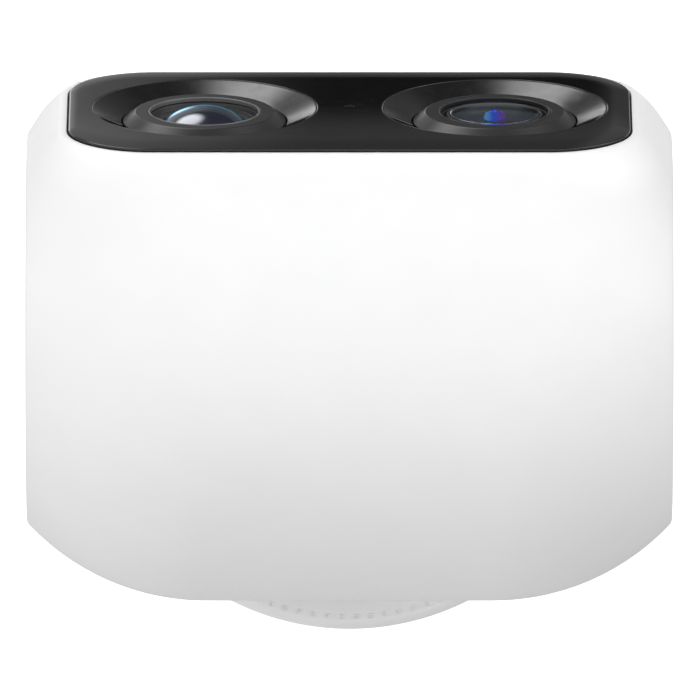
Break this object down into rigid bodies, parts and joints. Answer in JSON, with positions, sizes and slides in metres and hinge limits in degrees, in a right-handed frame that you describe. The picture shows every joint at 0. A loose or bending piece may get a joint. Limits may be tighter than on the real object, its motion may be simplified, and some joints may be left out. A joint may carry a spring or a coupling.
{
  "type": "pan and tilt security camera",
  "caption": "White pan and tilt security camera: drum-shaped head with a glossy black face and two recessed lenses on a round base.",
  "frame": {"origin": "centre of the wall plate's screw circle on its underside, on the pan axis", "axes": "+Z away from the mounting surface along the pan axis; the lenses look towards -Y, tilted 15 degrees up at rest; +X is the wide lens's side"},
  "size_m": [0.11, 0.0959, 0.127],
  "materials": {
    "white_shell": "fine satin moulding",
    "white_rubber": "soft satin",
    "gloss_black": "high gloss",
    "black_anodised": "satin black anodised",
    "bright_ring": "polished",
    "dark_plastic": "satin",
    "shield_metal": "satin",
    "wide_glass": "coated lens",
    "tele_glass": "coated lens",
    "inner_glass": "coated lens",
    "black_rubber": "matte",
    "circuit_board": "solder mask",
    "aluminium": "satin",
    "steel": "zinc plated",
    "grey_plastic": "acetal"
  },
  "bodies": {
    "base": {"wall_plate": "steel", "seal_ring": "black_rubber", "base_housing": "white_shell", "base_cover": "white_shell", "cover_screws": "steel", "lock_screws": "steel", "cable_gland": "black_rubber", "power_board": "circuit_board", "terminal_block": "dark_plastic", "speaker": "dark_plastic", "speaker_gasket": "black_rubber", "pan_motor": "steel", "pan_bush": "grey_plastic", "service_panel": "dark_plastic", "service_board": "circuit_board", "card_socket": "shield_metal"},
    "pan_stage": {"turntable": "white_shell", "pan_clip": "steel", "pan_gear": "grey_plastic", "yoke_screws": "steel", "tilt_yoke": "grey_plastic", "neck_sleeve": "white_shell", "tilt_axle": "steel", "axle_clips": "steel", "tilt_gear": "grey_plastic"},
    "pan_pinion": {"pan_pinion": "grey_plastic"},
    "tilt_pinion": {"tilt_pinion": "grey_plastic"},
    "reset_button": {"reset_button": "grey_plastic"},
    "service_flap": {"service_flap": "white_rubber"},
    "head": {"antenna": "circuit_board", "bracket_screws": "steel", "face_frame": "dark_plastic", "face_gasket": "black_rubber", "face_plate": "gloss_black", "head_shell": "white_shell", "heat_spreader": "aluminium", "inner_lenses": "inner_glass", "light_board": "circuit_board", "main_board": "circuit_board", "microphone": "steel", "sensor_boards": "circuit_board", "shell_screws": "steel", "shell_seal": "black_rubber", "shield_can": "shield_metal", "small_screws": "steel", "tele_front_glass": "tele_glass", "tele_lens_barrel": "black_anodised", "tele_lens_cell": "dark_plastic", "tele_lens_funnel": "gloss_black", "tele_rim_ring": "black_anodised", "tilt_bracket_left": "grey_plastic", "tilt_bracket_right": "grey_plastic", "tilt_bushes": "grey_plastic", "tilt_motor": "steel", "underside_shell": "white_shell", "wide_front_glass": "wide_glass", "wide_lens_barrel": "black_anodised", "wide_lens_cell": "dark_plastic", "wide_lens_funnel": "gloss_black", "wide_rim_ring": "bright_ring"}
  },
  "joints": [
    {"name": "pan", "type": "hinge", "parent": "base", "child": "pan_stage", "pos_m": [0, 0, 0.0304], "axis": [0, 0, 1], "range_deg": [-175, 175]},
    {"name": "tilt", "type": "hinge", "parent": "pan_stage", "child": "head", "pos_m": [0, -0.0061, 0.081], "axis": [-1, 0, 0], "range_deg": [-45, 45]},
    {"name": "pan_pinion_spin", "type": "hinge", "parent": "base", "child": "pan_pinion", "pos_m": [-0.02605, 0, 0.018], "axis": [0, 0, 1], "range_deg": [-585, 585]},
    {"name": "tilt_pinion_spin", "type": "hinge", "parent": "head", "child": "tilt_pinion", "pos_m": [0.0148, 0.01285, 0.08434], "axis": [-1, 0, 0], "range_deg": [-136, 136]},
    {"name": "reset_press", "type": "slide", "parent": "base", "child": "reset_button", "axis": [0, -1, 0], "range_m": [0, 0.0005], "stiffness_N_per_m": 600},
    {"name": "flap_hinge", "type": "hinge", "parent": "base", "child": "service_flap", "pos_m": [0, 0.0451, 0.01], "axis": [-1, 0, 0], "range_deg": [0, 100]}
  ],
  "couplings": [
    {"joint": "pan_pinion_spin", "follows": "pan", "ratio": -3.3333},
    {"joint": "tilt_pinion_spin", "follows": "tilt", "ratio": 3}
  ]
}
